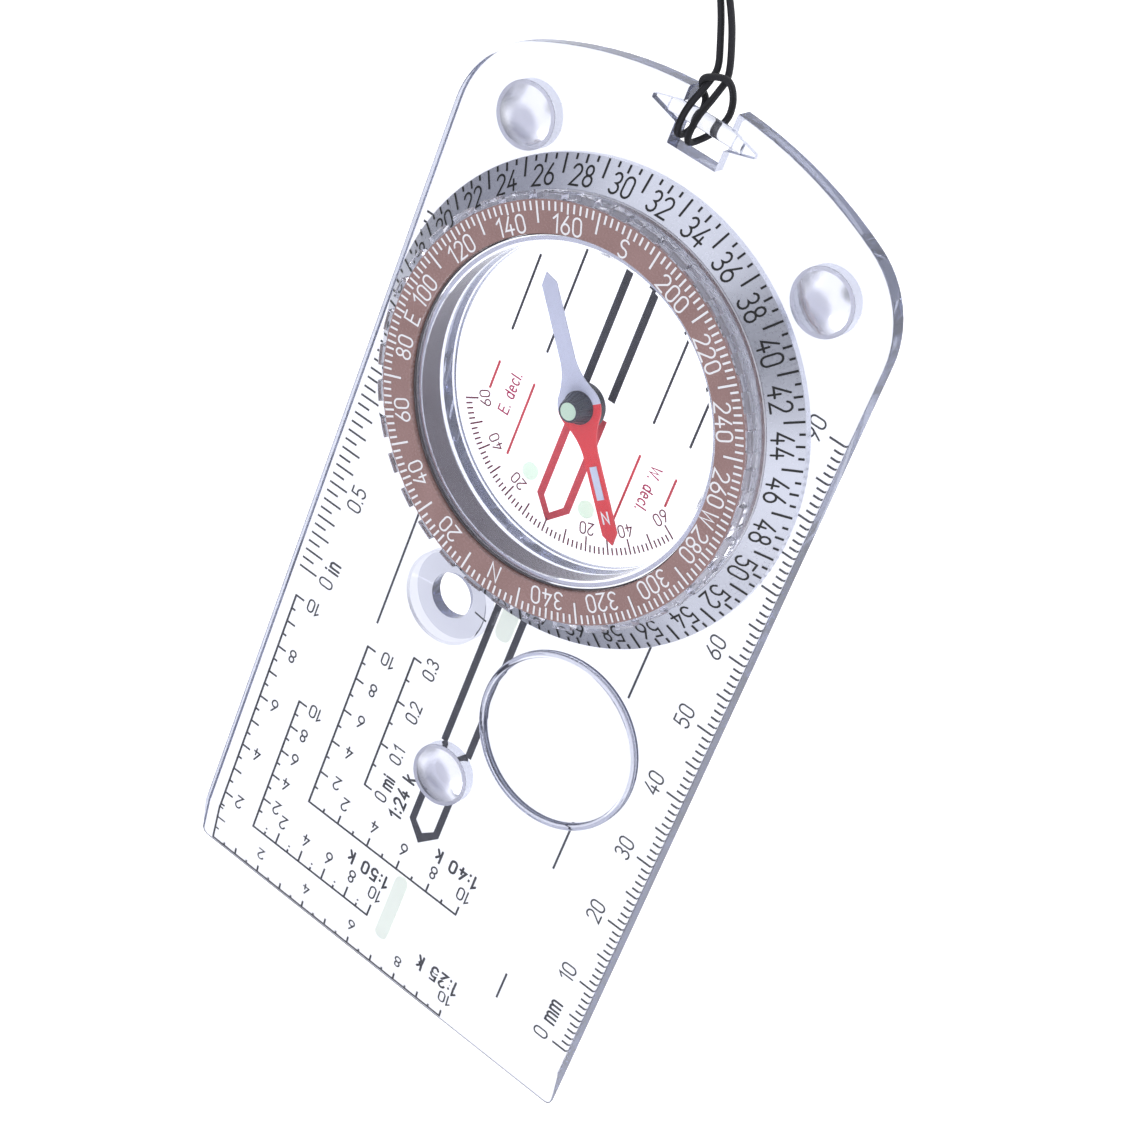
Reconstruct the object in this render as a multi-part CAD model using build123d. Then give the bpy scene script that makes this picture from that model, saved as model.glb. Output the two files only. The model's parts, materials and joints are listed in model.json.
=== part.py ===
from build123d import *
import math
import os

# Baseplate compass, in millimetres.
# Origin: the middle of the plate, on the surface the feet stand on.
# +Y is the direction of travel, +X is to the user's right, +Z is up.

# ---------------------------------------------------------------- plate
PLATE_WIDTH = 60.4
PLATE_LENGTH = 126.0
PLATE_THICK = 2.8
FOOT_DROP = 0.4  # the feet stand this far below the plate
PLATE_TOP = FOOT_DROP + PLATE_THICK
BOND_GAP = 0.02  # the film of cement between two bonded parts
LANYARD_END_R = 53.6  # the curved end of the plate
LANYARD_CORNER_R = 12.0
TRAVEL_CORNER_R = 1.0
EDGE_R = 0.4  # rounds the plate's top and bottom edges
WEDGE_LENGTH = 7.2  # the travel end thins towards its edge
WEDGE_TIP = 0.5

# ------------------------------------------------- dial place in the plate
DIAL_Y = -24.1
DIAL_HOLE_R = 20.5
RETAINER_POCKET_R = 22.6
RETAINER_POCKET_DEPTH = 1.0

# --------------------------------------------- marking hole and lanyard bar
MARKING_HOLE_AT = (8.05, 8.85)
MARKING_HOLE_R = 2.85
MARKING_SINK_R = 5.85
MARKING_SINK_DEPTH = 1.1
MARKING_SINK_LIP = 0.25
SLOT_HALF_WIDTH = 3.3
WINDOW_Y = -55.9
BAR_Y = -59.75
BAR_Z = 1.95
BAR_R = 1.0
BAR_END_X = 5.0
BAR_POCKET_END_X = 7.0
BAR_POCKET_FLOOR = 2.2
BAR_POCKET_WIDTH = 2.7
BAR_POCKET_END_WIDTH = 0.5

# ----------------------------------------------------------------- feet
FEET = {
    "foot_lanyard_left": (-20.8, -49.75),
    "foot_lanyard_right": (20.8, -49.75),
    "foot_travel": (0.0, 30.5),
}
FOOT_R = 3.95
FOOT_SHOULDER = 0.05
FOOT_DOME_R = 3.45
FOOT_TOP_DOME = 0.75
FOOT_BOTTOM_DOME = 0.5  # cut flat where it reaches the surface

# ----------------------------------------------------------- magnifier
LENS_AT = (-12.8, 15.75)
LENS_R = 11.1
LENS_RIM_HEIGHT = 0.95
LENS_RIM_WIDTH = 0.8
LENS_RIM_EDGE_R = 0.3
LENS_BASE = 0.15
LENS_DOME_R = 10.2
LENS_HEIGHT = 1.9

# ------------------------------------------------------ luminous strips
PAINT_GAP = 0.02
LUME_THICK = 0.12
LUME_LENGTH = 9.8
TRAVEL_LUME_END = 57.7
TRAVEL_LUME_WIDTH = 2.0
INDEX_LUME_END = 10.4
INDEX_LUME_WIDTH = 2.4

# ------------------- dial, with heights measured from the top of the plate
MIL_RING_R = 28.6
MIL_RING_BOTTOM = 0.3
MIL_RING_EDGE = 1.25
MIL_CONE_TOP_R = 24.9
MIL_CONE_TOP = 3.4
MIL_RING_SKIN = 0.7
COLLAR_R = 21.0
COLLAR_BOTTOM = 0.9
COLLAR_TOP = 5.3

GRIP_R = 24.65
GRIP_CROWN_R = 25.1
GRIP_NOTCH_R = 24.25
GRIP_LANDS = 36
GRIP_NOTCH_WIDTH = 1.95
GRIP_TOP = 6.3

DEGREE_RING_R = 24.2
DEGREE_RING_BORE_R = 20.4
DEGREE_SKIRT_R = 20.9
DEGREE_SKIRT_BOTTOM = 5.5
DIAL_TOP = 6.85

# -------------------------------------------------------------- capsule
CAPSULE_R = 20.3
CAPSULE_BORE_R = 19.3
CAPSULE_BOTTOM = -2.65
CAPSULE_RIM = 5.4
COVER_TOP = 6.2
SEAL_R = 20.05
SEAL_BORE_R = 19.55
SEAL_DEPTH = 0.25
FLOOR_BOTTOM = -2.2
FLOOR_TOP = -1.1
RETAINER_R = 22.2
RETAINER_THICK = 0.7
LUME_DOT_R = 1.1
LUME_DOT_X = 4.2
LUME_DOT_Y = 12.2

# --------------------------------------------------------------- needle
NEEDLE_ANGLE = 40.0  # the north arm's turn from the direction of travel, to the left
NEEDLE_Z = 1.85
NEEDLE_THICK = 0.25
NEEDLE_NORTH = 16.15
NEEDLE_SOUTH = 15.6
NEEDLE_DISC_R = 2.9
NEEDLE_ARM_WIDTH = 2.0
NEEDLE_POINT = 1.3
NEEDLE_WAIST = 5.3  # where the disc's shoulders meet the arm
SHOULDER_ANGLE = 58.0
HUB_BASE_R = 1.95
HUB_TOP_R = 1.25
HUB_TOP = 4.3
HUB_FLUTES = 14
FLUTE_R = 0.22
SPIGOT_R = 1.0
SPIGOT_BOTTOM = 0.7
SPIGOT_GAP = 0.02
HUB_BORE_R = 0.75
HUB_BORE_TOP = 3.2
JEWEL_BOTTOM = 2.4
JEWEL_DIMPLE_R = 0.55
MAGNET_R = 2.75
MAGNET_BOTTOM = 0.75
HUB_LUME_R = 1.05
HUB_LUME_DEPTH = 0.15
NEEDLE_LUME_START = 6.9
NEEDLE_LUME_END = 10.8
NEEDLE_LUME_WIDTH = 0.95
PIVOT_R = 0.4
PIVOT_SEAT = 0.6
PIVOT_CONE_START = 2.2
PIVOT_TIP = 2.9

# --------------------------------------------------------------- lanyard
CORD_DIAMETER = 0.8
CORD_SHARE = 0.45  # of the shorter run beside each corner, taken by its arc
# A lark's head on the bar. Both strands lie on the surface and end in one knot.
CORD_ROUTE = [
    (5.9, -74.2, 1.0),
    (4.5, -71.2, 0.55),
    (3.0, -67.5, 0.5),
    (1.9, -65.4, 1.0),
    (1.85, -64.1, 1.8),
    (2.0, -62.7, 2.7),
    (2.35, -60.9, 3.55),
    (2.6, -59.0, 3.6),
    (2.75, -57.4, 3.0),
    (2.7, -56.9, 1.9),
    (2.5, -57.3, 0.9),
    (2.2, -58.5, 0.5),
    (2.0, -60.3, 0.5),
    (2.0, -61.7, 0.9),
    (2.55, -62.3, 1.2),
    (2.7, -64.0, 2.4),
    (1.3, -64.9, 2.6),
    (0.24, -65.3, 2.7),
    (-0.4, -65.3, 2.4),
    (-1.0, -64.6, 2.0),
    (-1.4, -63.4, 1.6),
    (-1.4, -62.3, 1.1),
    (-1.2, -61.0, 0.55),
    (-0.6, -59.3, 0.5),
    (0.2, -58.0, 0.6),
    (0.9, -57.1, 1.2),
    (1.2, -56.8, 2.2),
    (1.25, -57.4, 3.1),
    (1.0, -59.0, 3.6),
    (0.8, -60.6, 3.55),
    (0.5, -62.3, 2.7),
    (0.35, -63.8, 1.9),
    (0.3, -65.0, 1.1),
    (1.4, -67.4, 0.5),
    (3.1, -71.3, 0.55),
    (4.9, -74.3, 1.0),
]
KNOT_AT = (5.7, -75.3, 1.35)
KNOT_R = 1.3
KNOT_STRETCH = 1.25


def at_height(z, x=0.0, y=0.0):
    """A sketch plane level with the plate at height z."""
    return Plane(origin=(x, y, z))


def on_dial(rise):
    """A sketch plane on the dial's axis, rise above the top of the plate."""
    return at_height(PLATE_TOP + rise, 0.0, DIAL_Y)


def turned(profile):
    """A solid of revolution about the dial's axis, from (radius, rise) points."""
    points = [(radius, DIAL_Y, PLATE_TOP + rise) for radius, rise in profile]
    face = Face(Wire.make_polygon([Vector(*p) for p in points], close=True))
    return revolve(face, Axis((0, DIAL_Y, 0), (0, 0, 1)), 360)


def dial_disc(radius, bottom, top, bore=0.0):
    """A flat disc or ring on the dial's axis."""
    if bore:
        return turned([(bore, bottom), (radius, bottom), (radius, top), (bore, top)])
    return turned([(0, bottom), (radius, bottom), (radius, top), (0, top)])


def pointing(shape):
    """Turns a shape about the dial's axis to where the needle points."""
    return shape.rotate(Axis((0, DIAL_Y, 0), (0, 0, 1)), NEEDLE_ANGLE)


# ---------------------------------------------------------------- plate
def plate_outline():
    half_width = PLATE_WIDTH / 2
    half_length = PLATE_LENGTH / 2
    arc_centre_y = LANYARD_END_R - half_length
    corner_y = arc_centre_y - math.sqrt(LANYARD_END_R**2 - half_width**2)
    with BuildSketch(at_height(FOOT_DROP)) as outline:
        with BuildLine():
            Polyline(
                (half_width, corner_y),
                (half_width, half_length),
                (-half_width, half_length),
                (-half_width, corner_y),
            )
            ThreePointArc((-half_width, corner_y), (0, -half_length), (half_width, corner_y))
        make_face()
        fillet(outline.vertices().group_by(Axis.Y)[0], LANYARD_CORNER_R)
        fillet(outline.vertices().group_by(Axis.Y)[-1], TRAVEL_CORNER_R)
    return outline.sketch


def plate_blank():
    blank = extrude(plate_outline(), PLATE_THICK)
    by_height = blank.faces().sort_by(Axis.Z)
    blank = fillet(by_height[-1].edges() + by_height[0].edges(), EDGE_R)
    return blank - travel_wedge()


def travel_wedge():
    """What is taken off the top of the travel end."""
    edge_y = PLATE_LENGTH / 2
    start_y = edge_y - WEDGE_LENGTH
    slope = (PLATE_THICK - WEDGE_TIP) / WEDGE_LENGTH
    overrun = 1.0
    section = Wire.make_polygon(
        [
            Vector(-PLATE_WIDTH, start_y - overrun, PLATE_TOP + slope * overrun),
            Vector(-PLATE_WIDTH, edge_y + overrun, PLATE_TOP + slope * overrun),
            Vector(-PLATE_WIDTH, edge_y + overrun, FOOT_DROP + WEDGE_TIP - slope * overrun),
        ],
        close=True,
    )
    return extrude(Face(section), 2 * PLATE_WIDTH, dir=(1, 0, 0))


def plate_hole(x, y, radius):
    return extrude(at_height(0.0, x, y) * Circle(radius), 2 * PLATE_TOP)


def marking_hole():
    """A bore with a countersink, whose rim has a small steep lip."""
    x, y = MARKING_HOLE_AT
    lip_r = MARKING_SINK_R - MARKING_SINK_LIP
    overrun = 0.2
    profile = [
        (0, 0),
        (MARKING_HOLE_R, 0),
        (MARKING_HOLE_R, PLATE_TOP - MARKING_SINK_DEPTH),
        (lip_r, PLATE_TOP - MARKING_SINK_LIP),
        (MARKING_SINK_R + overrun, PLATE_TOP + overrun),
        (0, PLATE_TOP + overrun),
    ]
    face = Face(Wire.make_polygon([Vector(x + r, y, z) for r, z in profile], close=True))
    return revolve(face, Axis((x, y, 0), (0, 0, 1)), 360)


def lanyard_slot():
    """The window and the end notch as one cut, which the bar then crosses."""
    end_y = -PLATE_LENGTH / 2 - 1.0
    centre_y = (WINDOW_Y + end_y) / 2
    slot = at_height(0.0, 0.0, centre_y) * Rectangle(2 * SLOT_HALF_WIDTH, WINDOW_Y - end_y)
    return extrude(slot, 2 * PLATE_TOP)


def bar_pocket(side):
    """The shallow tapering pocket in the plate's top, over one end of the bar."""
    start_x = SLOT_HALF_WIDTH - 0.3
    corners = [
        (start_x, BAR_Y - BAR_POCKET_WIDTH / 2),
        (start_x, BAR_Y + BAR_POCKET_WIDTH / 2),
        (BAR_POCKET_END_X, BAR_Y + BAR_POCKET_END_WIDTH / 2),
        (BAR_POCKET_END_X, BAR_Y - BAR_POCKET_END_WIDTH / 2),
    ]
    outline = Wire.make_polygon(
        [Vector(side * x, y, BAR_POCKET_FLOOR) for x, y in corners], close=True
    )
    return extrude(Face(outline), 2 * (PLATE_TOP - BAR_POCKET_FLOOR), dir=(0, 0, 1))


def lanyard_bar():
    return Pos(0, BAR_Y, BAR_Z) * Rot(0, 90, 0) * Cylinder(BAR_R, 2 * BAR_END_X)


def baseplate():
    plate = plate_blank()
    plate -= plate_hole(0.0, DIAL_Y, DIAL_HOLE_R)
    pocket = at_height(FOOT_DROP - 1.0, 0.0, DIAL_Y) * Circle(RETAINER_POCKET_R)
    plate -= extrude(pocket, 1.0 + RETAINER_POCKET_DEPTH)
    plate -= marking_hole()
    for x, y in FEET.values():
        plate -= plate_hole(x, y, FOOT_R + BOND_GAP)
    plate -= lanyard_slot()
    for side in (-1, 1):
        plate -= bar_pocket(side)
    return plate + lanyard_bar()


def foot(x, y):
    """A soft plug through the plate, domed above and below."""
    shoulder_z = PLATE_TOP + FOOT_SHOULDER
    bottom_r = (FOOT_R**2 + FOOT_BOTTOM_DOME**2) / (2 * FOOT_BOTTOM_DOME)
    plug = extrude(at_height(0.0, x, y) * Circle(FOOT_R), shoulder_z)
    plug &= Pos(x, y, FOOT_DROP - FOOT_BOTTOM_DOME + bottom_r) * Sphere(bottom_r)
    top_r = (FOOT_DOME_R**2 + FOOT_TOP_DOME**2) / (2 * FOOT_TOP_DOME)
    cap = extrude(at_height(shoulder_z - 0.5, x, y) * Circle(FOOT_DOME_R), 0.5 + FOOT_TOP_DOME)
    return plug + (cap & Pos(x, y, shoulder_z + FOOT_TOP_DOME - top_r) * Sphere(top_r))


def magnifier_lens():
    """A low dome inside a raised rim, bonded on the plate."""
    x, y = LENS_AT
    base_z = PLATE_TOP + LENS_BASE
    disc = extrude(at_height(PLATE_TOP + BOND_GAP, x, y) * Circle(LENS_R), LENS_BASE - BOND_GAP)
    rim_sketch = Circle(LENS_R) - Circle(LENS_R - LENS_RIM_WIDTH)
    rim = extrude(at_height(base_z, x, y) * rim_sketch, LENS_RIM_HEIGHT - LENS_BASE)
    rim = fillet(rim.edges().group_by(Axis.Z)[-1], LENS_RIM_EDGE_R)
    dome_rise = LENS_HEIGHT - LENS_BASE
    dome_radius = (LENS_DOME_R**2 + dome_rise**2) / (2 * dome_rise)
    core = extrude(at_height(base_z, x, y) * Circle(LENS_DOME_R), dome_rise)
    dome = core & Pos(x, y, PLATE_TOP + LENS_HEIGHT - dome_radius) * Sphere(dome_radius)
    return disc + rim + dome


def plate_lume(end_y, width):
    """A luminous strip painted under the plate on its centre line."""
    strip = at_height(FOOT_DROP - PAINT_GAP - LUME_THICK, 0.0, end_y - LUME_LENGTH / 2)
    return extrude(strip * Rot(0, 0, 90) * SlotOverall(LUME_LENGTH, width), LUME_THICK)


# ----------------------------------------------------------------- dial
def mil_ring():
    """The opaque conical ring, a thin skin with a collar round the capsule."""
    return turned(
        [
            (MIL_RING_R, MIL_RING_BOTTOM),
            (MIL_RING_R, MIL_RING_EDGE),
            (MIL_CONE_TOP_R, MIL_CONE_TOP),
            (COLLAR_R, MIL_CONE_TOP),
            (COLLAR_R, COLLAR_TOP),
            (CAPSULE_R + BOND_GAP, COLLAR_TOP),
            (CAPSULE_R + BOND_GAP, COLLAR_BOTTOM),
            (COLLAR_R + 0.2, COLLAR_BOTTOM),
            (COLLAR_R + 0.2, MIL_CONE_TOP - MIL_RING_SKIN),
            (MIL_CONE_TOP_R - 0.4, MIL_CONE_TOP - MIL_RING_SKIN),
            (MIL_RING_R - 0.8, MIL_RING_EDGE - 0.45),
            (MIL_RING_R - 0.8, MIL_RING_BOTTOM),
        ]
    )


def grip_ring():
    """The clear finger grip, with a crown of lands round the degree ring."""
    ring = turned(
        [
            (COLLAR_R + BOND_GAP, MIL_CONE_TOP + BOND_GAP),
            (GRIP_R, MIL_CONE_TOP + BOND_GAP),
            (GRIP_R, COLLAR_TOP),
            (GRIP_CROWN_R, COLLAR_TOP + 0.2),
            (GRIP_CROWN_R, DIAL_TOP - 0.15),
            (GRIP_CROWN_R - 0.15, DIAL_TOP),
            (GRIP_NOTCH_R, DIAL_TOP),
            (GRIP_NOTCH_R, GRIP_TOP),
            (COLLAR_R + BOND_GAP, GRIP_TOP),
        ]
    )
    cutter = extrude(on_dial(COLLAR_TOP) * Rectangle(2.0, GRIP_NOTCH_WIDTH), 2.0)
    cutter = cutter.moved(Location((GRIP_NOTCH_R + 1.0, 0, 0)))
    axis = Axis((0, DIAL_Y, 0), (0, 0, 1))
    return ring - [cutter.rotate(axis, 360 / GRIP_LANDS * i) for i in range(GRIP_LANDS)]


def degree_ring():
    """The flat ring that carries the degrees, with a short skirt inside the grip."""
    return turned(
        [
            (DEGREE_RING_BORE_R, DEGREE_SKIRT_BOTTOM),
            (DEGREE_SKIRT_R, DEGREE_SKIRT_BOTTOM),
            (DEGREE_SKIRT_R, GRIP_TOP + BOND_GAP),
            (DEGREE_RING_R, GRIP_TOP + BOND_GAP),
            (DEGREE_RING_R, DIAL_TOP),
            (DEGREE_RING_BORE_R + 0.1, DIAL_TOP),
            (DEGREE_RING_BORE_R, DIAL_TOP - 0.1),
        ]
    )


def capsule_wall():
    wall = dial_disc(CAPSULE_R, CAPSULE_BOTTOM, CAPSULE_RIM, CAPSULE_BORE_R)
    return wall - dial_disc(SEAL_R, CAPSULE_RIM - SEAL_DEPTH, CAPSULE_RIM + 1, SEAL_BORE_R)


def capsule_seal():
    """The soft ring in the groove of the wall's rim."""
    bottom = CAPSULE_RIM - SEAL_DEPTH + BOND_GAP
    return dial_disc(SEAL_R - BOND_GAP, bottom, CAPSULE_RIM, SEAL_BORE_R + BOND_GAP)


def retaining_ring():
    """The ring under the plate that keeps the dial in its hole."""
    top = CAPSULE_BOTTOM + RETAINER_THICK
    return dial_disc(RETAINER_R, CAPSULE_BOTTOM, top, CAPSULE_R + BOND_GAP)


def capsule_floor():
    floor = dial_disc(CAPSULE_BORE_R - BOND_GAP, FLOOR_BOTTOM, FLOOR_TOP)
    return floor - dial_disc(PIVOT_R + BOND_GAP, FLOOR_TOP - PIVOT_SEAT, FLOOR_TOP + 1)


def pivot_pin():
    """The steel pin whose point carries the needle's jewel."""
    return turned(
        [
            (0, FLOOR_TOP - PIVOT_SEAT),
            (PIVOT_R, FLOOR_TOP - PIVOT_SEAT),
            (PIVOT_R, PIVOT_CONE_START),
            (0, PIVOT_TIP),
        ]
    )


def floor_lume_dots():
    disc = extrude(on_dial(FLOOR_TOP + PAINT_GAP) * Circle(LUME_DOT_R), LUME_THICK)
    dots = [disc.moved(Location((side * LUME_DOT_X, LUME_DOT_Y, 0))) for side in (-1, 1)]
    return Compound(dots)


# --------------------------------------------------------------- needle
def needle_outline():
    half = NEEDLE_ARM_WIDTH / 2
    angle = math.radians(SHOULDER_ANGLE)
    shoulder = (NEEDLE_DISC_R * math.sin(angle), NEEDLE_DISC_R * math.cos(angle))
    waist = (half, NEEDLE_WAIST)
    hollow = (half + 0.3 * (shoulder[0] - half), (shoulder[1] + waist[1]) / 2)

    def arm(sign, length):
        right = [(x, sign * y) for x, y in (shoulder, hollow, waist)]
        left = [(-x, y) for x, y in right]
        with BuildSketch() as sketch:
            with BuildLine():
                ThreePointArc(*right)
                Polyline(
                    right[2],
                    (half, sign * (length - NEEDLE_POINT)),
                    (0, sign * length),
                    (-half, sign * (length - NEEDLE_POINT)),
                    left[2],
                )
                ThreePointArc(*left[::-1])
                Line(left[0], right[0])
            make_face()
        return sketch.sketch

    return Circle(NEEDLE_DISC_R) + arm(1, NEEDLE_NORTH) + arm(-1, NEEDLE_SOUTH)


def needle():
    outline = needle_outline() - Circle(SPIGOT_R + SPIGOT_GAP)
    return pointing(extrude(on_dial(NEEDLE_Z) * outline, NEEDLE_THICK))


def needle_lume():
    """The luminous bar painted on the north arm."""
    length = NEEDLE_LUME_END - NEEDLE_LUME_START
    bar = Pos(0, (NEEDLE_LUME_START + NEEDLE_LUME_END) / 2) * Rectangle(NEEDLE_LUME_WIDTH, length)
    plane = on_dial(NEEDLE_Z + NEEDLE_THICK + PAINT_GAP)
    return pointing(extrude(plane * bar, LUME_THICK / 2))


def hub_flute(turn):
    """A thin rod laid along the cone's side, for one groove."""
    base_z = PLATE_TOP + NEEDLE_Z + NEEDLE_THICK
    rise = PLATE_TOP + HUB_TOP - base_z
    lean = math.degrees(math.atan2(HUB_BASE_R - HUB_TOP_R, rise))
    outset = FLUTE_R * 0.5
    rod = Cylinder(FLUTE_R, 1.6 * rise, align=(Align.CENTER, Align.CENTER, Align.CENTER))
    middle = ((HUB_BASE_R + HUB_TOP_R) / 2 + outset, DIAL_Y, base_z + rise / 2)
    placed = Pos(*middle) * Rot(0, -lean, 0) * rod
    return placed.rotate(Axis((0, DIAL_Y, 0), (0, 0, 1)), turn)


def needle_hub():
    """The tall fluted cap over the jewel, with a spigot down through the magnet."""
    seat = NEEDLE_Z + NEEDLE_THICK
    cone = turned([(0, seat), (HUB_BASE_R, seat), (HUB_TOP_R, HUB_TOP), (0, HUB_TOP)])
    flutes = [hub_flute(360 / HUB_FLUTES * i) for i in range(HUB_FLUTES)]
    grooved = cone - flutes
    foot_ring = dial_disc(HUB_BASE_R, seat, seat + 0.2)
    crown = dial_disc(HUB_TOP_R, HUB_TOP - 0.15, HUB_TOP)
    hub = grooved + foot_ring + crown + dial_disc(SPIGOT_R, SPIGOT_BOTTOM, seat)
    hub -= dial_disc(HUB_BORE_R, SPIGOT_BOTTOM - 1, HUB_BORE_TOP)
    return hub - dial_disc(HUB_LUME_R, HUB_TOP - HUB_LUME_DEPTH, HUB_TOP + 1)


def hub_lume():
    return dial_disc(HUB_LUME_R - PAINT_GAP, HUB_TOP - HUB_LUME_DEPTH, HUB_TOP)


def jewel_bearing():
    """The jewel cup that turns on the pivot's point."""
    cup = dial_disc(HUB_BORE_R - SPIGOT_GAP, JEWEL_BOTTOM, HUB_BORE_TOP)
    dimple_top = JEWEL_BOTTOM + JEWEL_DIMPLE_R
    return cup - turned([(0, JEWEL_BOTTOM), (JEWEL_DIMPLE_R, JEWEL_BOTTOM), (0, dimple_top)])


def needle_magnet():
    return dial_disc(MAGNET_R, MAGNET_BOTTOM, NEEDLE_Z, SPIGOT_R + SPIGOT_GAP)


# --------------------------------------------------------------- lanyard
def cord_radii(route):
    """Each corner's arc: as large as its two runs allow."""
    radii = []
    for before, corner, after in zip(route, route[1:], route[2:]):
        run_in = Vector(*corner) - Vector(*before)
        run_out = Vector(*after) - Vector(*corner)
        turn = math.radians(run_in.get_angle(run_out))
        radii.append(CORD_SHARE * min(run_in.length, run_out.length) / math.tan(turn / 2))
    return radii


def lanyard_cord():
    radii = cord_radii(CORD_ROUTE)
    path = FilletPolyline(*CORD_ROUTE, radius=radii)
    section = Plane(origin=path @ 0, z_dir=path % 0) * Circle(CORD_DIAMETER / 2)
    tube = sweep(section, path=path)
    expected = math.pi * CORD_DIAMETER**2 / 4 * path.length
    print("cord radii", [round(r, 2) for r in radii])
    print("cord length", round(path.length, 2), "volume ratio", round(tube.volume / expected, 4))
    return tube


def lanyard_knot():
    """The closed outer shape of the knot that joins the two strands."""
    ball = scale(Sphere(KNOT_R), by=(1.0, KNOT_STRETCH, 0.9))
    return Pos(*KNOT_AT) * Rot(0, 0, -25) * ball


def write_nodes():
    nodes = {
        "baseplate": baseplate(),
        "magnifier_lens": magnifier_lens(),
        "travel_lume": plate_lume(TRAVEL_LUME_END, TRAVEL_LUME_WIDTH),
        "index_lume": plate_lume(INDEX_LUME_END, INDEX_LUME_WIDTH),
        "lanyard_cord": lanyard_cord(),
        "lanyard_knot": lanyard_knot(),
        "mil_ring": mil_ring(),
        "grip_ring": grip_ring(),
        "degree_ring": degree_ring(),
        "capsule_wall": capsule_wall(),
        "capsule_floor": capsule_floor(),
        "capsule_cover": dial_disc(CAPSULE_R - BOND_GAP, CAPSULE_RIM + BOND_GAP, COVER_TOP),
        "capsule_seal": capsule_seal(),
        "retaining_ring": retaining_ring(),
        "pivot_pin": pivot_pin(),
        "floor_lume_dots": floor_lume_dots(),
        "needle": needle(),
        "needle_hub": needle_hub(),
        "needle_magnet": needle_magnet(),
        "needle_lume": needle_lume(),
        "jewel_bearing": jewel_bearing(),
        "hub_lume": hub_lume(),
    }
    for name, (x, y) in FEET.items():
        nodes[name] = foot(x, y)
    os.makedirs("parts", exist_ok=True)
    for name, solid in nodes.items():
        export_step(solid, f"parts/{name}.step")


write_nodes()
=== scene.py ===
import json
import math

import bmesh
import bpy
from mathutils import Matrix, Vector


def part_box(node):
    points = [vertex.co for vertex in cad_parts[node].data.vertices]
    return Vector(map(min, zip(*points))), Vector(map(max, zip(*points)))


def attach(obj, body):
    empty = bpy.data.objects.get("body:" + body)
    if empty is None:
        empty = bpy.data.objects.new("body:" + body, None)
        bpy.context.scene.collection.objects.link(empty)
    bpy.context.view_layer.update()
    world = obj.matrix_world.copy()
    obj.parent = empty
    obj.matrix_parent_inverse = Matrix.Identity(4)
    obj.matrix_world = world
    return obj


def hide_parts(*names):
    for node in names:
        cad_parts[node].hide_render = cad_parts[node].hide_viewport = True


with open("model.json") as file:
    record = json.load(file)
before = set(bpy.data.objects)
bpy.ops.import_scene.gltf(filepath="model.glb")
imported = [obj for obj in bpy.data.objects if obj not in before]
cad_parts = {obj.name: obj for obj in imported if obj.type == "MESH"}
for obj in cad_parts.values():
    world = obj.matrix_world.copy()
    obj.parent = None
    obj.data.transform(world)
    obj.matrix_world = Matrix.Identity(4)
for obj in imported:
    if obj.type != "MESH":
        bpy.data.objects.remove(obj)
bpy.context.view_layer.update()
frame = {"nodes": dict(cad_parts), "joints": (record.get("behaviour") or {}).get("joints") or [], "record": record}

# Lengths are in millimetres until a mesh is made, when they are multiplied by MM.
MM = 0.001
PLATE_LOW, PLATE_HIGH = (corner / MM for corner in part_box("baseplate"))
PLATE_TOP = PLATE_HIGH.z
PLATE_BOTTOM = PLATE_LOW.z
DIAL = next(Vector(j["pos_m"]) for j in frame["joints"] if j["name"] == "dial_turn") / MM
HOLE = next(Vector(m["pos_m"]) for m in frame["record"]["mounts"] if m["name"] == "marking_hole") / MM
LENS_LOW, LENS_HIGH = (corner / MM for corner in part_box("magnifier_lens"))
LENS = (LENS_LOW + LENS_HIGH) / 2
LENS_CLEAR_R = (LENS_HIGH.x - LENS_LOW.x) / 2 - 0.5  # inside the lens's rounded rim; outside it the lens is tinted darker: painted shade on the rim
COUNTERSINK_R = 5.9  # just outside the marking hole's countersink; inside it the plate is tinted darker: painted shade
UNDER_DIAL_R = 24.5  # inside this the dial covers the plate's hole and its retaining ring, which are tinted paler there: painted light
SHELF_R = 24.8  # where the mil ring's cone starts, outside its shelf
COLLAR_R = 20.7  # where that shelf starts, outside the collar, which is painted dark grey: painted shade
CEMENT_R = 20.2  # where the capsule's cover is cemented down, out to its rim
NEEDLE_TURN = math.radians(40.0)  # the red arm at rest, anticlockwise from the direction of travel
INK = 0.012  # how thick a printed line is
INK_GAP = 0.012  # and how far it stands off its surface, so that the two never share a plane
INK_RISE = 0.0003  # how much each further corner of a stroke rises, so that crossing strokes don't either


# ------------------------------------------------------------------ camera
def add_camera():
    camera = bpy.data.objects.new("camera", bpy.data.cameras.new("camera"))
    bpy.context.scene.collection.objects.link(camera)
    right = Vector((-0.76287, -0.33473, -0.55316))
    up = Vector((0.53597, -0.80590, -0.25150))
    back = right.cross(up)
    turn = Matrix((right, up, back)).transposed().to_4x4()
    place = Vector((-125.735, -167.263, 267.943))
    camera.matrix_world = Matrix.Translation(place * MM) @ turn
    camera.data.sensor_width = 36.0
    camera.data.lens = 91.27
    camera.data.clip_start = 0.01
    camera.data.clip_end = 20.0
    bpy.context.scene.camera = camera


# --------------------------------------------------------------- materials
def new_material(name):
    material = bpy.data.materials.new(name)
    material.use_nodes = True
    material.node_tree.nodes.clear()
    return material


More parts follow.
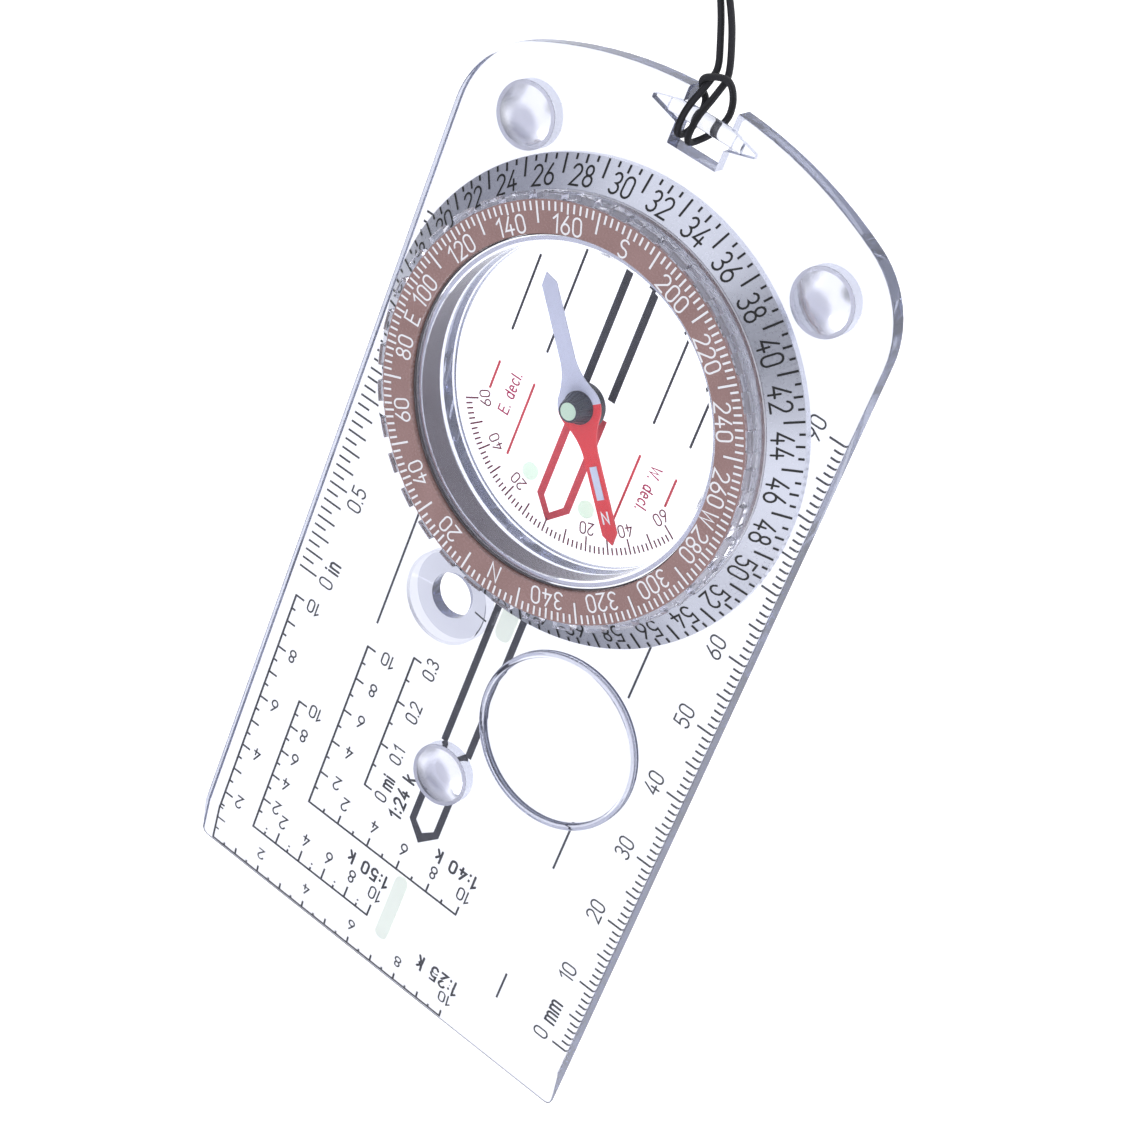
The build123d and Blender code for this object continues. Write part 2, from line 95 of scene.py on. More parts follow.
class Nodes:
    """Short calls for one tree of nodes. A value that is a socket is linked, and any other is set."""

    def __init__(self, tree):
        self.tree = tree

    def add(self, kind, settings=None, **inputs):
        node = self.tree.nodes.new(kind)
        for key, value in (settings or {}).items():
            setattr(node, key, value)
        for key, value in inputs.items():
            self.put(node.inputs[key.replace("_", " ")], value)
        return node

    def put(self, socket, value):
        if isinstance(value, bpy.types.NodeSocket):
            self.tree.links.new(value, socket)
        else:
            socket.default_value = value

    def object_coords(self, scale=(1, 1, 1)):
        coords = self.add("ShaderNodeTexCoord").outputs["Object"]
        mapping = self.add("ShaderNodeMapping", Vector=coords)
        mapping.inputs["Scale"].default_value = scale
        return mapping.outputs["Vector"]

    def noise(self, scale, detail=3.0, stretch=(1, 1, 1)):
        """scale is in cycles per metre."""
        node = self.add("ShaderNodeTexNoise", Vector=self.object_coords(stretch))
        node.inputs["Scale"].default_value = scale
        node.inputs["Detail"].default_value = detail
        return node.outputs["Fac"]

    def ramp(self, factor, low, high, start=0.35, end=0.65, easing="LINEAR"):
        node = self.add("ShaderNodeValToRGB", Fac=factor)
        node.color_ramp.interpolation = easing
        node.color_ramp.elements[0].position = start
        node.color_ramp.elements[1].position = end
        node.color_ramp.elements[0].color = (*low, 1)
        node.color_ramp.elements[1].color = (*high, 1)
        return node.outputs["Color"]

    def span(self, factor, low, high, start=0.3, end=0.7, easing="LINEAR"):
        """Takes start to low and end to high."""
        node = self.add("ShaderNodeMapRange", {"interpolation_type": easing}, Value=factor)
        node.inputs["From Min"].default_value = start
        node.inputs["From Max"].default_value = end
        node.inputs["To Min"].default_value = low
        node.inputs["To Max"].default_value = high
        return node.outputs["Result"]

    def length(self, vector):
        node = self.add("ShaderNodeVectorMath", {"operation": "LENGTH"})
        self.put(node.inputs[0], vector)
        return node.outputs["Value"]

    def dot(self, vector, direction):
        node = self.add("ShaderNodeVectorMath", {"operation": "DOT_PRODUCT"})
        self.put(node.inputs[0], vector)
        node.inputs[1].default_value = direction
        return node.outputs["Value"]

    def math(self, operation, first, second=0.0):
        node = self.add("ShaderNodeMath", {"operation": operation})
        self.put(node.inputs[0], first)
        self.put(node.inputs[1], second)
        return node.outputs[0]

    def bump(self, height, strength, distance_mm):
        node = self.add("ShaderNodeBump", Height=height)
        node.inputs["Strength"].default_value = strength
        node.inputs["Distance"].default_value = distance_mm * MM
        return node.outputs["Normal"]

    def beyond(self, radius_mm, centre=DIAL):
        """1 farther than that from an upright axis, 0 nearer to it."""
        centred = self.add("ShaderNodeMapping", Vector=self.add("ShaderNodeTexCoord").outputs["Object"])
        centred.inputs["Location"].default_value = (-centre.x * MM, -centre.y * MM, 0)
        centred.inputs["Scale"].default_value = (1, 1, 0)
        return self.math("GREATER_THAN", self.length(centred.outputs["Vector"]), radius_mm * MM)

    def steep(self):
        """1 on upright faces, 0 on level ones."""
        parts = self.add("ShaderNodeSeparateXYZ", Vector=self.add("ShaderNodeTexCoord").outputs["Normal"])
        return self.span(self.math("ABSOLUTE", parts.outputs["Z"]), 1.0, 0.0, 0.35, 0.85)

    def mix(self, factor, first, second, way="MIX"):
        """Mixes two colours; a blend mixes two shaders."""
        node = self.add("ShaderNodeMix", {"data_type": "RGBA", "blend_type": way})
        self.put(node.inputs["Factor"], factor)
        self.put(node.inputs["A"], first)
        self.put(node.inputs["B"], second)
        return node.outputs["Result"]

    def blend(self, factor, first, second):
        node = self.add("ShaderNodeMixShader")
        self.put(node.inputs[0], factor)
        self.put(node.inputs[1], first)
        self.put(node.inputs[2], second)
        return node.outputs[0]

    def output(self, shader):
        self.add("ShaderNodeOutputMaterial", Surface=shader)


def clear_plastic(
    name,
    tint,
    ior=1.49,
    roughness=0.004,
    lamp_tint=(0.97, 0.975, 1.0),
    gloss=0.0,
    haze=0.0,
    cement_r=None,
    painted_light_and_shade_zones=(),
    painted_edge_shade=None,
):
    """Clear moulded plastic with faint rubs, which lets the lamps through to what lies under it.

    lamp_tint is what it does to their light. gloss is the share of a soft shine, which is darker on upright faces:
    painted shade.
    haze is the share of a milky glow. Beyond cement_r there is grey cement. A zone is a centre, a radius and the
    tint inside it:
    painted shade where that tint is darker, painted light where it is paler. The upright sides may take a darker
    tint: painted shade.
    """
    material = new_material(name)
    n = Nodes(material.node_tree)
    rubs = n.noise(900.0, 4.0, (1.0, 0.15, 1.0))
    colour = (*tint, 1)
    # Each zone tints the plastic inside it: painted shade where darker, painted light where paler.
    for centre, radius, painted_zone_tint in painted_light_and_shade_zones:
        colour = n.mix(n.beyond(radius, centre), (*painted_zone_tint, 1), colour)
    # Upright sides tinted darker: painted shade.
    if painted_edge_shade:
        colour = n.mix(n.steep(), colour, (*painted_edge_shade, 1))
    glass = n.add(
        "ShaderNodeBsdfGlass",
        Color=colour,
        Roughness=n.span(rubs, roughness * 0.3, roughness),
        Normal=n.bump(n.noise(60.0), 0.03, 0.04),
    )
    glass.inputs["IOR"].default_value = ior
    body = glass.outputs[0]
    if haze:
        milk = n.add("ShaderNodeBsdfTranslucent", Color=(0.93, 0.935, 0.96, 1))
        body = n.blend(haze, body, milk.outputs[0])
    if gloss:
        skin = n.add("ShaderNodeBsdfGlossy", Roughness=n.span(rubs, roughness, roughness * 2))
        # The shine is darker on upright faces: painted shade.
        n.put(skin.inputs["Color"], n.mix(n.steep(), (0.9, 0.91, 0.96, 1), (0.5, 0.51, 0.56, 1)))
        body = n.blend(gloss, body, skin.outputs[0])
    if cement_r:
        cement = n.add("ShaderNodeBsdfPrincipled", Roughness=n.span(rubs, 0.4, 0.6))
        cement.inputs["Base Color"].default_value = (0.09, 0.08, 0.085, 1)
        body = n.blend(n.beyond(cement_r), body, cement.outputs[0])
    passing = n.add("ShaderNodeBsdfTransparent", Color=(*lamp_tint, 1))
    lamp = n.add("ShaderNodeLightPath").outputs["Is Shadow Ray"]
    n.output(n.blend(lamp, body, passing.outputs[0]))
    return material


def ink(name, colour, paler):
    """Screen-printed ink: nearly even, with thin spots."""
    material = new_material(name)
    n = Nodes(material.node_tree)
    blotches = n.noise(2500.0, 5.0)
    shader = n.add(
        "ShaderNodeBsdfPrincipled",
        Base_Color=n.ramp(blotches, colour, paler, 0.45, 0.8),
        Roughness=n.span(blotches, 0.37, 0.55),
        Normal=n.bump(blotches, 0.2, 0.01),
    )
    n.output(shader.outputs[0])
    return material


def satin(name, colour, darker, roughness, metallic=0.0, grain=4000.0, grain_depth=0.01, glow=0.0):
    """Moulded or painted surface with a fine grain and slight clouding."""
    material = new_material(name)
    n = Nodes(material.node_tree)
    clouds = n.noise(180.0, 3.0)
    fine = n.noise(grain, 4.0)
    shader = n.add(
        "ShaderNodeBsdfPrincipled",
        Base_Color=n.ramp(clouds, darker, colour),
        Roughness=n.span(fine, roughness - 0.06, roughness + 0.06),
        Normal=n.bump(fine, 0.35, grain_depth),
    )
    shader.inputs["Metallic"].default_value = metallic
    shader.inputs["Emission Color"].default_value = (*colour, 1)
    shader.inputs["Emission Strength"].default_value = glow
    n.output(shader.outputs[0])
    return material


def needle_paint(name, red, pale):
    """Red on the north side of the hub and pale on the south side, split across the pivot."""
    material = new_material(name)
    n = Nodes(material.node_tree)
    north = Vector((-math.sin(NEEDLE_TURN), math.cos(NEEDLE_TURN), 0))
    along = n.dot(n.add("ShaderNodeTexCoord").outputs["Object"], north)
    is_north = n.math("GREATER_THAN", along, north.dot(DIAL) * MM)
    fine = n.noise(3000.0, 4.0)
    south_paint = n.ramp(fine, [c * 0.96 for c in pale], pale)
    north_paint = n.ramp(fine, [c * 0.93 for c in red], red)
    shader = n.add(
        "ShaderNodeBsdfPrincipled",
        Base_Color=n.mix(is_north, south_paint, north_paint),
        Roughness=n.span(fine, 0.34, 0.46),
        Normal=n.bump(fine, 0.25, 0.008),
    )
    n.output(shader.outputs[0])
    return material


def silvered_ring(name, silver, shelf, shaded_collar_colour):
    """Satin silver paint on the cone, a shelf under the grip ring painted paler, which is painted light, and a
    collar painted dark grey, which is painted shade.
    """
    material = new_material(name)
    n = Nodes(material.node_tree)
    clouds = n.noise(180.0, 3.0)
    fine = n.noise(4000.0, 4.0)
    on_cone = n.beyond(SHELF_R)
    # The collar is painted dark grey, painted shade, and the shelf paler, painted light.
    painted_collar_shade = n.ramp(clouds, [c * 0.85 for c in shaded_collar_colour], shaded_collar_colour)
    pale = n.ramp(clouds, [c * 0.96 for c in shelf], shelf)
    paint = n.ramp(clouds, [c * 0.94 for c in silver], silver)
    inner = n.mix(n.beyond(COLLAR_R), painted_collar_shade, pale)
    shader = n.add(
        "ShaderNodeBsdfPrincipled",
        Base_Color=n.mix(on_cone, inner, paint),
        Metallic=n.math("MULTIPLY", on_cone, 0.8),
        Roughness=n.span(fine, 0.26, 0.34),
        Normal=n.bump(fine, 0.1, 0.004),
    )
    n.output(shader.outputs[0])
    return material


def brown_plastic(name, colour, darker):
    """Translucent brown plastic, a little cloudy."""
    material = new_material(name)
    n = Nodes(material.node_tree)
    clouds = n.noise(160.0, 4.0)
    fine = n.noise(2600.0, 3.0)
    shader = n.add(
        "ShaderNodeBsdfPrincipled",
        Base_Color=n.ramp(clouds, darker, colour),
        Roughness=n.span(fine, 0.2, 0.32),
        Normal=n.bump(fine, 0.05, 0.004),
    )
    shader.inputs["Transmission Weight"].default_value = 0.06
    shader.inputs["IOR"].default_value = 1.49
    n.output(shader.outputs[0])
    return material


def braided_cord(name):
    """Fine black braid: two sets of slanting yarns that cross round the cord."""
    material = new_material(name)
    n = Nodes(material.node_tree)
    uv = n.add("ShaderNodeTexCoord").outputs["UV"]
    waves = []
    for slant in (1, -1):
        turned = n.add("ShaderNodeMapping", Vector=uv)
        turned.inputs["Rotation"].default_value = (0, 0, slant * math.radians(45))
        wave = n.add("ShaderNodeTexWave", Vector=turned.outputs["Vector"])
        wave.inputs["Scale"].default_value = 1.1
        waves.append(wave.outputs["Fac"])
    weave = n.math("MAXIMUM", *waves)
    fibres = n.noise(9000.0, 4.0)
    shader = n.add(
        "ShaderNodeBsdfPrincipled",
        Base_Color=n.ramp(weave, (0.003, 0.003, 0.004), (0.014, 0.014, 0.018)),
        Roughness=n.span(fibres, 0.7, 0.9),
        Normal=n.bump(weave, 0.8, 0.06),
    )
    shader.inputs["Sheen Weight"].default_value = 0.05
    n.output(shader.outputs[0])
    return material


ACRYLIC = clear_plastic(
    "clear_acrylic_look",
    (0.87, 0.876, 0.908),
    haze=0.02,
    # The plate is tinted darker in the countersink, painted shade, and paler under the dial, painted light; its
    # upright sides darker, painted shade.
    painted_light_and_shade_zones=[(HOLE, COUNTERSINK_R, (0.68, 0.69, 0.745)), (DIAL, UNDER_DIAL_R, (0.965, 0.968, 0.985))],
    painted_edge_shade=(0.66, 0.675, 0.73),
)
# The grip ring's upright sides are tinted a little darker: painted shade.
GRIP_ACRYLIC = clear_plastic(
    "grip_acrylic_look", (0.985, 0.987, 0.997), haze=0.06, painted_edge_shade=(0.97, 0.972, 0.99)
)
LENS_ACRYLIC = clear_plastic(
    "lens_acrylic_look",
    # The lens is tinted darker outside its clear middle and on its upright sides: painted shade on the rim.
    (0.71, 0.72, 0.77),
    ior=1.5,
    painted_light_and_shade_zones=[(LENS, LENS_CLEAR_R, (0.99, 0.99, 0.997))],
    painted_edge_shade=(0.52, 0.535, 0.59),
)
COVER_ACRYLIC = clear_plastic("cover_acrylic_look", (0.985, 0.987, 0.996), cement_r=CEMENT_R)
# The liquid inside hides most of the bending of light at the capsule's own surfaces.
WETTED = clear_plastic("wetted_acrylic_look", (0.98, 0.984, 0.996), ior=1.06)
SILICONE = clear_plastic(
    "clear_silicone_look",
    (0.95, 0.955, 0.98),
    ior=1.41,
    roughness=0.09,
    lamp_tint=(0.93, 0.94, 0.97),
    # Its shine is darker on upright faces: painted shade round the feet's edges.
    gloss=0.75,
)
JEWEL = clear_plastic(
    "ruby_look", (0.6, 0.05, 0.12), ior=1.76, roughness=0.01, lamp_tint=(0.7, 0.2, 0.25)
)
DARK_INK = ink("dark_ink", (0.014, 0.014, 0.02), (0.025, 0.025, 0.035))
BLACK_INK = ink("black_ink", (0.005, 0.005, 0.006), (0.012, 0.012, 0.015))
RED_INK = ink("red_ink", (0.72, 0.05, 0.07), (0.78, 0.09, 0.11))
CRIMSON_INK = ink("crimson_ink", (0.5, 0.012, 0.09), (0.55, 0.03, 0.12))
MAROON_INK = ink("maroon_ink", (0.2, 0.015, 0.045), (0.26, 0.035, 0.07))
WHITE_INK = ink("white_ink", (0.93, 0.93, 0.94), (0.97, 0.97, 0.98))
LUME = satin("lume_paint", (0.66, 0.84, 0.66), (0.6, 0.8, 0.62), 0.6, grain=6000.0)
FLOOR_LUME = satin("floor_lume_paint", (0.74, 0.9, 0.74), (0.7, 0.87, 0.7), 0.6, grain=6000.0, glow=0.39)
FAINT_LUME = satin("faint_lume_paint", (0.9, 0.95, 0.79), (0.87, 0.93, 0.76), 0.6, grain=6000.0, glow=0.4)
PALE_LUME = satin("pale_lume_paint", (0.66, 0.71, 0.86), (0.62, 0.68, 0.84), 0.6, grain=6000.0)
# Silver cone; the shelf is painted paler, painted light, and the collar dark grey, painted shade.
SILVER = silvered_ring("silver_finish", (0.67, 0.69, 0.77), (0.88, 0.89, 0.95), (0.115, 0.098, 0.11))
BROWN = brown_plastic("brown_plastic_look", (0.4, 0.25, 0.23), (0.35, 0.215, 0.195))
DARK = satin("dark_moulding", (0.045, 0.052, 0.065), (0.032, 0.038, 0.05), 0.36)
MAGNET = satin("sintered_magnet", (0.03, 0.032, 0.038), (0.02, 0.02, 0.025), 0.5, 0.6, 5000.0, 0.03)
STEEL = satin("ground_steel", (0.55, 0.56, 0.58), (0.45, 0.46, 0.48), 0.25, metallic=1.0)
CORD = braided_cord("black_braid")
NEEDLE = needle_paint("needle_look", (0.85, 0.04, 0.05), (0.64, 0.67, 0.82))

NODE_LOOKS = {
    ACRYLIC: ("baseplate", "retaining_ring"),
    GRIP_ACRYLIC: ("grip_ring",),
    WETTED: ("capsule_wall", "capsule_floor"),
    SILICONE: ("foot_lanyard_left", "foot_lanyard_right", "foot_travel", "capsule_seal"),
    LUME: ("hub_lume",),
    FAINT_LUME: ("travel_lume", "index_lume"),
    FLOOR_LUME: ("floor_lume_dots",),
    PALE_LUME: ("needle_lume",),
    SILVER: ("mil_ring",),
    BROWN: ("degree_ring",),
    DARK: ("needle_hub",),
    MAGNET: ("needle_magnet",),
    STEEL: ("pivot_pin",),
    JEWEL: ("jewel_bearing",),
    NEEDLE: ("needle",),
    LENS_ACRYLIC: ("magnifier_lens",),
    COVER_ACRYLIC: ("capsule_cover",),
}


def paint_nodes():
    for material, names in NODE_LOOKS.items():
        for name in names:
            node = frame["nodes"][name]
            for slot in node.material_slots:
                slot.material = material


# ----------------------------------------------------------- stroke lettering
def arc(x, y, rx, ry, start, end, steps=8):
    angles = [math.radians(start + (end - start) * i / steps) for i in range(steps + 1)]
    return [(x + rx * math.cos(a), y + ry * math.sin(a)) for a in angles]


# Each character: its width and its strokes, for capitals 1 high. Lower case is 0.72 high.
LETTERS = {
    "0": (
        0.52,
        [arc(0.26, 0.74, 0.26, 0.26, 0, 180) + arc(0.26, 0.26, 0.26, 0.26, 180, 360) + [(0.52, 0.74)]],
    ),
    "1": (0.3, [[(0, 0.76), (0.26, 1), (0.26, 0)]]),
    "2": (0.52, [arc(0.26, 0.73, 0.26, 0.27, 165, -35) + [(0, 0), (0.52, 0)]]),
    "3": (0.52, [arc(0.25, 0.75, 0.23, 0.25, 150, -90) + arc(0.25, 0.25, 0.26, 0.25, 90, -150)]),
    "4": (0.56, [[(0.36, 1), (0, 0.27), (0.56, 0.27)], [(0.38, 0.55), (0.38, 0)]]),
    "5": (0.52, [[(0.47, 1), (0.06, 1), (0.03, 0.54)] + arc(0.25, 0.31, 0.27, 0.31, 125, -150)]),
    "6": (0.52, [[(0.4, 1)] + arc(0.26, 0.28, 0.26, 0.28, 150, 510, 14)]),
    "7": (0.5, [[(0, 1), (0.5, 1), (0.18, 0)]]),
    "8": (0.52, [arc(0.26, 0.76, 0.21, 0.24, 0, 360, 12), arc(0.26, 0.26, 0.26, 0.26, 0, 360, 12)]),
    "9": (0.52, [[(0.12, 0)] + arc(0.26, 0.72, 0.26, 0.28, -30, 330, 14)]),
    "N": (0.6, [[(0, 0), (0, 1), (0.6, 0), (0.6, 1)]]),
    "E": (0.48, [[(0.48, 1), (0, 1), (0, 0), (0.48, 0)], [(0, 0.52), (0.42, 0.52)]]),
    "S": (0.54, [arc(0.27, 0.76, 0.25, 0.24, 40, 250) + arc(0.27, 0.26, 0.27, 0.26, 75, -140)]),
    "W": (0.84, [[(0, 1), (0.21, 0), (0.42, 0.85), (0.63, 0), (0.84, 1)]]),
    "c": (0.4, [arc(0.22, 0.36, 0.22, 0.36, 45, 315)]),
    "d": (0.42, [arc(0.21, 0.36, 0.21, 0.36, 0, 360, 12), [(0.42, 0), (0.42, 1)]]),
    "e": (0.42, [[(0.02, 0.38), (0.42, 0.38)] + arc(0.21, 0.36, 0.21, 0.36, 5, 310)]),
    "i": (0.04, [[(0.02, 0), (0.02, 0.72)], [(0.02, 0.93), (0.02, 1)]]),
    "k": (0.4, [[(0, 0), (0, 1)], [(0.38, 0.72), (0, 0.3)], [(0.12, 0.44), (0.4, 0)]]),
    "l": (0.04, [[(0.02, 0), (0.02, 1)]]),
    "m": (
        0.68,
        [
            [(0, 0), (0, 0.72)],
            [(0, 0.45)] + arc(0.17, 0.52, 0.17, 0.2, 180, 0) + [(0.34, 0)],
            [(0.34, 0.45)] + arc(0.51, 0.52, 0.17, 0.2, 180, 0) + [(0.68, 0)],
        ],
    ),
    "n": (0.38, [[(0, 0), (0, 0.72)], [(0, 0.45)] + arc(0.19, 0.52, 0.19, 0.2, 180, 0) + [(0.38, 0)]]),
    ".": (0.04, [[(0.02, 0), (0.02, 0.05)]]),
    ":": (0.04, [[(0.02, 0.1), (0.02, 0.15)], [(0.02, 0.6), (0.02, 0.65)]]),
    " ": (0.22, []),
}


class Print:
    """Printed strokes that become one thin mesh. place(x, y) gives a point and its outward normal in mm."""

    def __init__(self, place):
        self.place = place
        self.mesh = bmesh.new()
        self.rise = 0.0

    def vertex(self, x, y, lift):
        point, normal = self.place(x, y)
        return self.mesh.verts.new((point + normal * (lift + self.rise)) * MM)

    def area(self, corners):
        """A filled outline."""
        self.rise += INK_RISE
        rings = [[self.vertex(x, y, lift) for x, y in corners] for lift in (0.0, INK)]
        self.mesh.faces.new(rings[1])
        self.mesh.faces.new(rings[0][::-1])
        for i in range(len(corners)):
            j = (i + 1) % len(corners)
            self.mesh.faces.new((rings[0][i], rings[0][j], rings[1][j], rings[1][i]))

    def stroke(self, points, width, square=False):
        """A line of even width. Its ends are round unless square."""
        points = [Vector(p) for p in points]
        points = points[:1] + [p for last, p in zip(points, points[1:]) if (p - last).length > 0.02]
        sides = [[], []]
        for i, point in enumerate(points):
            before = (point - points[i - 1]).normalized() if i else None
            after = (points[i + 1] - point).normalized() if i + 1 < len(points) else None
            along = ((before or after) + (after or before)).normalized()
            across = Vector((-along.y, along.x))
            half = width / 2 / max(0.45, along.dot(after or before))
            sides[0].append(point + across * half)
            sides[1].append(point - across * half)
        outline = sides[1] + self.cap(points[-1], points[-2], width, square)
        outline += sides[0][::-1] + self.cap(points[0], points[1], width, square)
        self.strip(sides, outline)

    def cap(self, end, inner, width, square):
        if square:
            return []
        away = math.degrees(math.atan2(end.y - inner.y, end.x - inner.x))
        half = width / 2
        return [Vector(p) for p in arc(end.x, end.y, half, half, away - 90, away + 90, 6)[1:-1]]

    def strip(self, sides, outline):
        """Quads along the stroke, with its two caps as single faces."""
        if len(sides[0]) == 2:
            self.area([tuple(p) for p in outline])
            return
        count = len(sides[0])
        lows, highs = ([], []), ([], [])
        start_rise = self.rise
        for left, right in zip(*sides):
            self.rise += INK_RISE
            for lift, ring in ((0.0, lows), (INK, highs)):
                ring[0].append(self.vertex(left.x, left.y, lift))
                ring[1].append(self.vertex(right.x, right.y, lift))
        for i in range(count - 1):
            left, right = highs
            self.mesh.faces.new((right[i], right[i + 1], left[i + 1], left[i]))
            left, right = lows
            self.mesh.faces.new((right[i], left[i], left[i + 1], right[i + 1]))
            for k, flip in ((0, False), (1, True)):
                wall = (lows[k][i], highs[k][i], highs[k][i + 1], lows[k][i + 1])
                self.mesh.faces.new(wall if not flip else wall[::-1])
        caps = len(outline) - 2 * count
        half_caps = caps // 2
        ends = (outline[count : count + half_caps], outline[2 * count + half_caps :])
        for which, (index, cap) in enumerate(((count - 1, ends[0]), (0, ends[1]))):
            first, second = (1, 0) if which == 0 else (0, 1)
            self.rise = start_rise + INK_RISE * (index + 1)
            rings = []
            for sheet, lift in ((lows, 0.0), (highs, INK)):
                middle = [self.vertex(p.x, p.y, lift) for p in cap]
                rings.append([sheet[first][index], *middle, sheet[second][index]])
            if cap:
                self.mesh.faces.new(rings[1])
                self.mesh.faces.new(rings[0][::-1])
            for a in range(len(rings[0]) - 1):
                self.mesh.faces.new((rings[0][a], rings[0][a + 1], rings[1][a + 1], rings[1][a]))

    def text(self, words, centre, height, width, angle=0.0, gap=0.24):
        """Lettering centred on a point. angle is the reading direction's turn from +X, in degrees."""
        total = sum(LETTERS[c][0] + gap for c in words) - gap
        turn = Matrix.Rotation(math.radians(angle), 2)
        cursor = -total / 2
        for letter in words:
            self.rise = 0.0
            advance, strokes = LETTERS[letter]
            for line in strokes:
                local = [Vector((cursor + x, y - 0.5)) * height for x, y in line]
                self.stroke([tuple(turn @ p + Vector(centre)) for p in local], width)
            cursor += advance + gap

    def finish(self, name, material, body):
        mesh = bpy.data.meshes.new(name)
        bmesh.ops.recalc_face_normals(self.mesh, faces=self.mesh.faces)
        self.mesh.to_mesh(mesh)
        self.mesh.free()
        mesh.materials.append(material)
        piece = bpy.data.objects.new(name, mesh)
        bpy.context.scene.collection.objects.link(piece)
        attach(piece, body)


def flat(height, centre=(0.0, 0.0), facing=1):
    """Places prints on a level surface at that height, above it or, with facing -1, below it."""
    normal = Vector((0, 0, facing))
    origin = Vector((*centre, height)) + normal * INK_GAP
    return lambda x, y: (origin + Vector((x, y, 0)), normal)


def bearing(degrees, radius):
    angle = math.radians(degrees)
    return (radius * math.sin(angle), radius * math.cos(angle))


def radial_tick(layer, degrees, inner, outer, width):
    layer.stroke([bearing(degrees, inner), bearing(degrees, outer)], width, square=True)


# ------------------------------------------------------------- plate prints
# Widths of lines, then heights of figures.
TICK = 0.28
SCALE_LINE = 0.3
FIGURE_LINE = 0.23
UNIT_LINE = 0.31
TITLE_LINE = 0.34
MAP_FIGURE = 1.7
RULER_FIGURE = 2.0


def print_travel_lines(layer):
    """Two thick lines from the dial, joined in a point and broken by the foot, and thin guides aside."""
    inner, outer, start, shoulder, tip, notch = 1.45, 2.4, 0.3, 39.7, 42.1, 40.5
    foot_start, foot_end = (corner.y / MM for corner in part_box("foot_travel"))
    foot_start, foot_end = foot_start + 0.5, foot_end - 0.5
    for x in (-(inner + outer) / 2, (inner + outer) / 2):
        layer.stroke([(x, start), (x, foot_start)], outer - inner, square=True)
    layer.area(
        [
            (outer, foot_end),
            (outer, shoulder),
            (0, tip),
            (-outer, shoulder),
            (-outer, foot_end),
            (-inner, foot_end),
            (-inner, shoulder - 0.4),
            (0, notch),
            (inner, shoulder - 0.4),
            (inner, foot_end),
        ]
    )
    guides = ((16.4, -0.5, 18.9), (-18.05, -2.0, 6.4), (-18.05, 25.2, 32.7), (-18.05, 49.9, 53.9))
    for x, low, high in guides:
        layer.stroke([(x, low), (x, high)], SCALE_LINE, square=True)


def print_title(layer, words, centre, angle=0.0):
    """A map scale's name, bold and widely spaced."""
    layer.text(words, centre, MAP_FIGURE, TITLE_LINE, angle, gap=0.36)


def print_romer(layer, corner, unit, per_long, ticks, labels, title, title_at, gap=0.0):
    """A map corner: two scales of ten units from one corner, with a figure each second unit.

    A long tick stands at every per_long units, and a short one halfway between. ticks are the lengths of
    the long ticks down and across, then of the short ones. With a gap, the line across stands that far off
    the zero of the line down, and a dot stands under each of its short ticks.
    """
    x0, y0 = corner
    across_y = y0 + gap
    long_down, long_across, short_down, short_across = ticks
    label_x, label_y = labels
    layer.stroke([(x0, y0 - 10 * unit), (x0, across_y), (x0 - 10 * unit, across_y)], SCALE_LINE)
    for i in range(1, round(20 / per_long) + 1):
        along = i * unit * per_long / 2
        even = i % 2 == 0
        down_tip = x0 - (long_down if even else short_down)
        across_tip = across_y - (long_across if even else short_across)
        layer.stroke([(x0, y0 - along), (down_tip, y0 - along)], TICK, square=True)
        layer.stroke([(x0 - along, across_y), (x0 - along, across_tip)], TICK, square=True)
        if gap and not even:
            layer.stroke([(x0 - along, y0 - 0.2), (x0 - along, y0 - 0.45)], TICK, square=True)
    for k in range(2, 11, 2):
        inset = 0.5 if k == 10 else 0.0
        layer.text(str(k), (label_x - inset, y0 - k * unit), MAP_FIGURE, FIGURE_LINE)
        layer.text(str(k), (x0 - k * unit, label_y), MAP_FIGURE, FIGURE_LINE)
    print_title(layer, title, title_at)


def print_romers(layer):
    print_romer(layer, (28.5, 62.7), 4.0, 1, (1.35, 1.1, 0.65, 0.5), (26.0, 59.3), "1:25 k", (-9.5, 57.0))
    print_romer(
        layer, (22.83, 55.66), 2.0, 2, (1.3, 1.72, 0.6, 0.5), (20.5, 52.9), "1:50 k", (5.0, 50.4), gap=0.69
    )
    print_romer(layer, (16.45, 47.5), 2.5, 2, (1.3, 1.3, 0.6, 0.6), (13.6, 44.4), "1:40 k", (-6.3, 41.8))


def print_zero(layer, x, y, unit, apart, height):
    """The figure 0 and, that far along the scale, the name of its unit."""
    layer.text("0", (x, y), height, FIGURE_LINE, -90)
    layer.text(unit, (x - 0.2, y - apart), height, UNIT_LINE, -90)


def print_mile_scale(layer):
    x, top = 9.9, 39.9
    mile = 1609344 / 24000
    layer.stroke([(x, top), (x, top - 0.3 * mile)], SCALE_LINE)
    for i in range(7):
        y = top - i * 0.05 * mile
        layer.stroke([(x, y), (x - (1.2 if i % 2 == 0 else 0.6), y)], TICK, square=True)
    print_zero(layer, 7.2, top, "mi", 2.4, MAP_FIGURE)
    for i in range(1, 4):
        layer.text(f"0.{i}", (7.2, top - i * 0.1 * mile), MAP_FIGURE, FIGURE_LINE, -90)
    print_title(layer, "1:24 k", (4.4, 37.9), -90)


